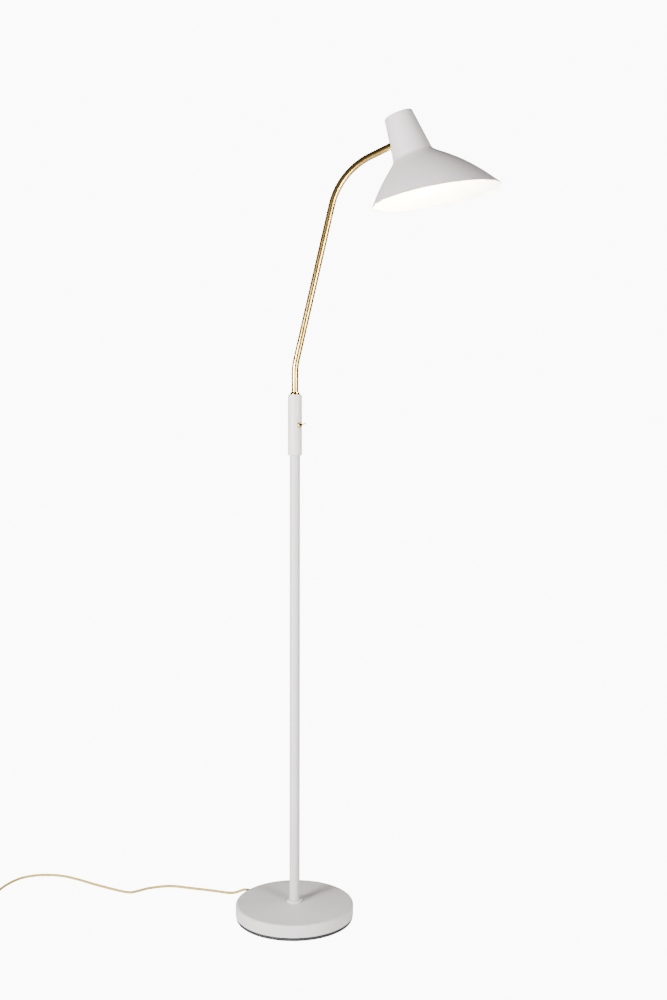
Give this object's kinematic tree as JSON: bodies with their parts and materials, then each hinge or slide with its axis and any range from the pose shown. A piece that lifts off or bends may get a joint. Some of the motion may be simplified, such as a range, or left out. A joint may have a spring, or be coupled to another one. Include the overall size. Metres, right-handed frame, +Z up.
{
  "type": "adjustable arm floor lamp",
  "caption": "Floor lamp with a weighted round base, an upright pole, a swivelling bent arm and a tilting bell-shaped shade.",
  "frame": {"origin": "centre of the base's underside, on the pole's axis", "axes": "+Z up along the pole, +X towards the shade with the arm at rest, +Y completes the right-handed frame"},
  "size_m": [1.1051, 0.3271, 1.5517],
  "materials": {
    "paint": "matte warm light grey powder coat",
    "shade_metal": "matte warm light grey powder coat, off-white inside",
    "brass": "polished with a soft satin sheen",
    "steel": "zinc plated",
    "ballast": "rough casting",
    "gunmetal": "dark, smooth",
    "pad": "matte black",
    "nylon": "natural nylon",
    "black_plastic": "matte black",
    "opal_glass": "opal white",
    "textile": "braided gold textile sleeve"
  },
  "bodies": {
    "stand": {"base_cover": "paint", "ballast_weight": "ballast", "base_plate": "steel", "foot_pad": "pad", "plate_screw_1": "steel", "plate_screw_2": "steel", "plate_screw_3": "steel", "base_nipple": "steel", "base_nut": "steel", "base_washer": "steel", "pole_collar": "paint", "pole_tube": "paint", "pole_insert": "steel", "pole_cable": "black_plastic", "cord_strain_relief": "black_plastic", "lower_bush": "nylon", "sleeve_grub_screw": "steel", "switch_sleeve": "paint", "switch_case": "black_plastic", "switch_bushing": "brass", "switch_dome_nut": "brass", "switch_lead": "black_plastic", "arm_bush": "nylon", "stop_pin": "steel", "cord_run": "textile", "cord_coil": "textile", "cord_tail": "textile", "cord_tie": "black_plastic", "plug_boot": "black_plastic", "plug_body": "black_plastic", "plug_pin_1": "brass", "plug_pin_2": "brass"},
    "arm": {"arm_tube": "brass", "arm_collar": "brass", "friction_washer": "nylon", "stop_ring": "steel", "stop_screw": "steel", "arm_cable": "black_plastic", "joint_half_arm": "steel", "joint_screw": "steel", "joint_nut": "steel"},
    "shade": {"joint_half_shade": "steel", "shade_shell": "shade_metal", "shade_bracket": "steel", "bracket_nut": "steel", "shade_stud": "steel", "lamp_holder": "black_plastic", "holder_contact": "brass", "holder_lead": "black_plastic", "bulb_cap": "brass", "bulb_globe": "opal_glass"},
    "toggle": {"toggle_lever": "gunmetal"}
  },
  "joints": [
    {"name": "arm_swivel", "type": "hinge", "parent": "stand", "child": "arm", "pos_m": [0, 0, 1.0185], "axis": [0, 0, 1], "range_deg": [-160, 160]},
    {"name": "shade_tilt", "type": "hinge", "parent": "arm", "child": "shade", "pos_m": [0.20932, 0, 1.49871], "axis": [0, 1, 0], "range_deg": [-20, 20]},
    {"name": "toggle_throw", "type": "hinge", "parent": "stand", "child": "toggle", "pos_m": [0.00996, -0.01187, 0.9612], "axis": [-0.766, -0.6428, 0], "range_deg": [-20, 0]}
  ]
}
